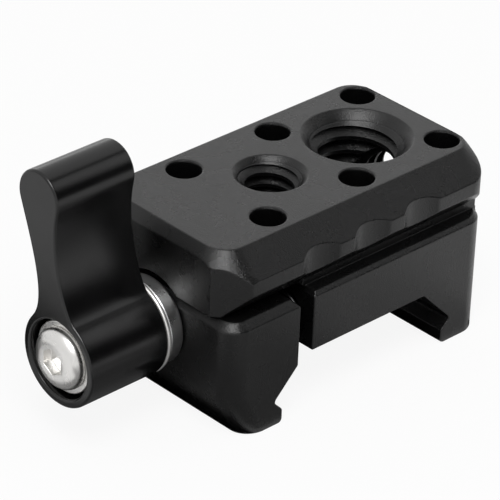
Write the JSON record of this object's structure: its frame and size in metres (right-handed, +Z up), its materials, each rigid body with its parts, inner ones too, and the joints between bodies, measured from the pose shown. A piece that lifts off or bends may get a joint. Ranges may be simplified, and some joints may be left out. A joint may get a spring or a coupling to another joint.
{
  "type": "rail clamp",
  "caption": "Quick-release clamp for an accessory rail: tapped block with a fixed jaw, a sliding jaw on a screw, and a ratchet lever that turns and lifts.",
  "frame": {"origin": "middle of the rail seat, the flat on the block's underside that the rail's top lies under", "axes": "+Z up from the seat to the tapped top face; X along the lever's axis, with the lever at -X; Y along the rail"},
  "size_m": [0.048, 0.0224, 0.0289],
  "materials": {
    "black_anodised": "fine bead-blasted black anodising",
    "black_gloss_anodised": "smooth black anodising",
    "bright_steel": "bright turned",
    "satin_steel": "satin turned",
    "spring_steel": "drawn wire"
  },
  "bodies": {
    "block": {"clamp_body": "black_anodised", "guide_pin_front": "satin_steel", "guide_pin_rear": "satin_steel", "jaw_spring_front": "spring_steel", "jaw_spring_rear": "spring_steel"},
    "jaw": {"moving_jaw": "black_anodised"},
    "spindle": {"clamp_stud": "satin_steel", "lever_screw": "bright_steel", "screw_washer": "bright_steel", "lever_spring": "spring_steel"},
    "handle": {"lever": "black_gloss_anodised", "spline_insert": "bright_steel"}
  },
  "joints": [
    {"name": "jaw_slide", "type": "slide", "parent": "block", "child": "jaw", "axis": [1, 0, 0], "range_m": [-0.00135, 0.00165], "deforming": ["jaw_spring_front", "jaw_spring_rear"]},
    {"name": "lever_turn", "type": "hinge", "parent": "jaw", "child": "spindle", "pos_m": [0, 0, 0.0029], "axis": [1, 0, 0], "range_deg": [-600, 740]},
    {"name": "lever_lift", "type": "slide", "parent": "spindle", "child": "handle", "axis": [-1, 0, 0], "range_m": [0, 0.0018], "stiffness_N_per_m": 1500, "springref_m": -0.002, "deforming": ["lever_spring"]}
  ],
  "couplings": [
    {"joint": "jaw_slide", "follows": "lever_turn", "m_per_rad": 0.00012732}
  ]
}
